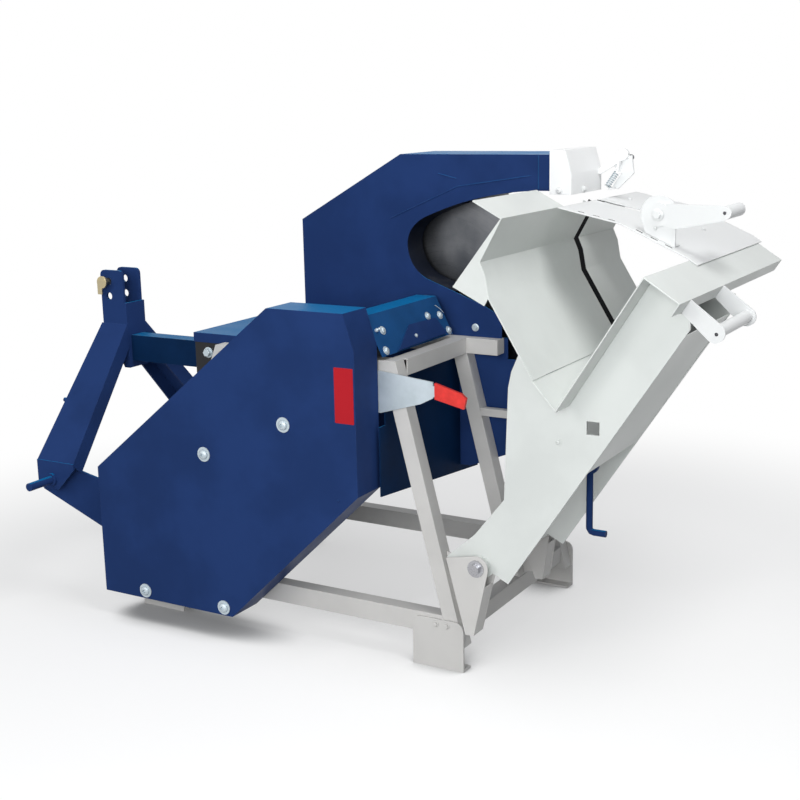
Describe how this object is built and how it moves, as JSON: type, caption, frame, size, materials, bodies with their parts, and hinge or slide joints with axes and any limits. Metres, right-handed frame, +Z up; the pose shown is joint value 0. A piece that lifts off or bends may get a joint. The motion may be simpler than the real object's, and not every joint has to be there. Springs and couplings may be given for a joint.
{
  "type": "firewood circular saw",
  "caption": "Tractor-mounted circular log saw: hooded blade on a raked tube frame, belt guard, three-point hitch and a tilting V cradle that swings the log into the blade.",
  "frame": {"origin": "centre of the bounding box in x and y, on the floor under the feet", "axes": "+Z up, +X from the hitch towards the cradle, +Y along the saw's shaft from the belt guard to the blade"},
  "size_m": [1.827, 0.959, 1.216],
  "materials": {
    "frame_paint": "satin light grey",
    "blue_paint": "satin dark blue",
    "cradle_paint": "satin very light grey",
    "white_paint": "satin white",
    "black_paint": "satin black",
    "zinc": "zinc plated",
    "steel": "ground steel",
    "cast_iron": "cast, machined rims",
    "rubber": "matt",
    "red_grip": "matt red sleeve"
  },
  "bodies": {
    "frame": {"foot_near_right": "frame_paint", "foot_near_left": "frame_paint", "foot_far_right": "frame_paint", "foot_far_left": "frame_paint", "side_frame_near": "frame_paint", "side_frame_far": "frame_paint", "cross_rail_right": "frame_paint", "cross_rail_left": "frame_paint", "top_rail_right": "frame_paint", "top_rail_left": "frame_paint", "centre_frame": "frame_paint", "pivot_clevis_near": "frame_paint", "pivot_clevis_far": "frame_paint", "hood_front": "blue_paint", "hood_shell": "blue_paint", "throat_return": "blue_paint", "lower_casing": "blue_paint", "splash_sheet": "blue_paint", "bearing_console": "blue_paint", "belt_guard": "blue_paint", "belt_guard_back": "blue_paint", "top_cover": "blue_paint", "headstock": "blue_paint", "hitch_leg_near": "blue_paint", "hitch_leg_far": "blue_paint", "hitch_strut": "blue_paint", "hitch_brace_near": "blue_paint", "hitch_brace_far": "blue_paint", "end_box": "white_paint", "gearbox_hanger": "black_paint", "pivot_axle": "zinc", "latch_spring": "zinc", "gearbox": "cast_iron", "bearing_near": "cast_iron", "bearing_far": "cast_iron", "swing_buffer": "rubber", "drive_belt": "rubber"},
    "saw": {"saw_pulley": "cast_iron", "saw_arbor": "steel", "saw_blade": "steel", "blade_clamp": "steel"},
    "drive": {"drive_pulley": "cast_iron"},
    "pto": {"pto_shaft": "steel"},
    "tension": {"tension_lever": "zinc", "tension_grip": "red_grip"},
    "cradle": {"cradle_arms": "cradle_paint", "cradle_back_sheet": "cradle_paint", "cradle_trough": "cradle_paint", "blade_wall_near": "cradle_paint", "blade_wall_far": "cradle_paint", "cover_sheet": "white_paint", "loop_handle": "white_paint", "hold_stand": "white_paint"},
    "rod": {"locking_rod": "blue_paint"},
    "hold": {"hold_lever": "white_paint", "hold_grip": "white_paint"},
    "latch_hook": {"latch": "white_paint"},
    "linch": {"linch_pin": "zinc"}
  },
  "joints": [
    {"name": "cradle_swing", "type": "hinge", "parent": "frame", "child": "cradle", "pos_m": [0.3545, -0.0915, 0.278], "axis": [0, -1, 0], "range_deg": [0, 23.5]},
    {"name": "saw_spin", "type": "hinge", "parent": "frame", "child": "saw", "pos_m": [0.0145, 0.0615, 0.812], "axis": [0, 1, 0], "continuous": true},
    {"name": "drive_spin", "type": "hinge", "parent": "frame", "child": "drive", "pos_m": [-0.4785, -0.2385, 0.33], "axis": [0, 1, 0], "continuous": true},
    {"name": "pto_spin", "type": "hinge", "parent": "frame", "child": "pto", "pos_m": [-0.6085, -0.0665, 0.33], "axis": [1, 0, 0], "continuous": true},
    {"name": "tension_swing", "type": "hinge", "parent": "frame", "child": "tension", "pos_m": [0.0535, -0.2628, 0.668], "axis": [0, 1, 0], "range_deg": [0, 28]},
    {"name": "hold_swing", "type": "hinge", "parent": "cradle", "child": "hold", "pos_m": [0.6805, -0.0145, 1.08], "axis": [0, -1, 0], "range_deg": [0, 55]},
    {"name": "rod_swing", "type": "hinge", "parent": "cradle", "child": "rod", "pos_m": [0.5595, -0.0985, 0.506], "axis": [0, 1, 0], "range_deg": [-28, 28]},
    {"name": "latch_swing", "type": "hinge", "parent": "frame", "child": "latch_hook", "pos_m": [0.4815, 0.2925, 1.198], "axis": [0, -1, 0], "range_deg": [0, 18], "deforming": ["latch_spring"]},
    {"name": "linch_pull", "type": "slide", "parent": "frame", "child": "linch", "axis": [0, -1, 0], "range_m": [0, 0.045]}
  ],
  "couplings": [
    {"joint": "drive_spin", "follows": "saw_spin", "ratio": 0.3304},
    {"joint": "pto_spin", "follows": "saw_spin", "ratio": 0.3304}
  ]
}
